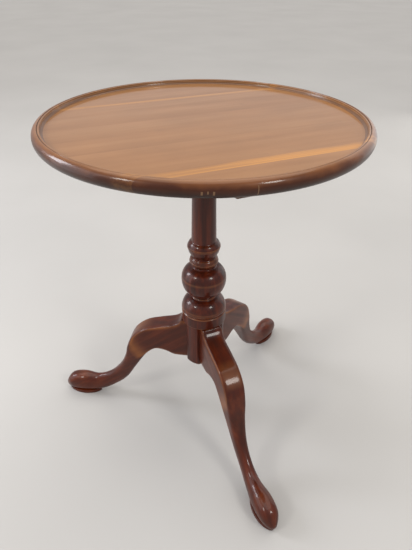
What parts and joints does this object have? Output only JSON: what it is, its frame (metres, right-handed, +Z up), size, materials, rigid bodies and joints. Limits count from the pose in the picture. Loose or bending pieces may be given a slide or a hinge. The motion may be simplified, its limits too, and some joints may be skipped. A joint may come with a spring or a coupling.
{
  "type": "tilt top table",
  "caption": "Round tea table whose dished top tips up on a pivot block above a turned tripod column with cabriole legs and slipper feet, held level by a brass spring catch.",
  "frame": {"origin": "on the floor, under the axis of the turned column", "axes": "+Z up, +Y towards the edge that goes down when the top is tipped up, -Y along the front leg and towards the spring catch, +X to the right seen from -Y, along the grain of the top and the tilting axis"},
  "size_m": [0.6064, 0.6397, 0.711],
  "materials": {
    "top_wood": "polished reddish brown cherry, glossy old varnish",
    "base_wood": "dark red-brown stained hardwood, glossy old varnish",
    "under_wood": "planed hardwood, thin dull finish",
    "brass": "aged brass, hand polished on the knob",
    "iron": "blackened iron and steel, dull"
  },
  "bodies": {
    "base": {"column": "base_wood", "leg_front": "base_wood", "leg_left": "base_wood", "leg_right": "base_wood", "brace_plate": "iron", "brace_screws": "iron", "tilt_block": "under_wood", "tenon_wedge": "under_wood", "pivot_pin_left": "under_wood", "pivot_pin_right": "under_wood", "catch_strike": "brass", "strike_screws": "brass"},
    "top": {"top_board_1": "top_wood", "top_board_2": "top_wood", "top_board_3": "top_wood", "top_board_4": "top_wood", "top_board_5": "top_wood", "batten_left": "under_wood", "batten_right": "under_wood", "batten_screws": "iron", "catch_case": "brass", "catch_screws": "brass", "catch_spring": "iron"},
    "bolt": {"catch_bolt": "brass", "catch_knob": "brass"}
  },
  "joints": [
    {"name": "top_tilt", "type": "hinge", "parent": "base", "child": "top", "pos_m": [0, 0.04, 0.672], "axis": [-1, 0, 0], "range_deg": [0, 90]},
    {"name": "catch_slide", "type": "slide", "parent": "top", "child": "bolt", "axis": [0, -1, 0], "range_m": [0, 0.006], "stiffness_N_per_m": 400, "springref_m": -0.004, "deforming": ["catch_spring"]}
  ]
}
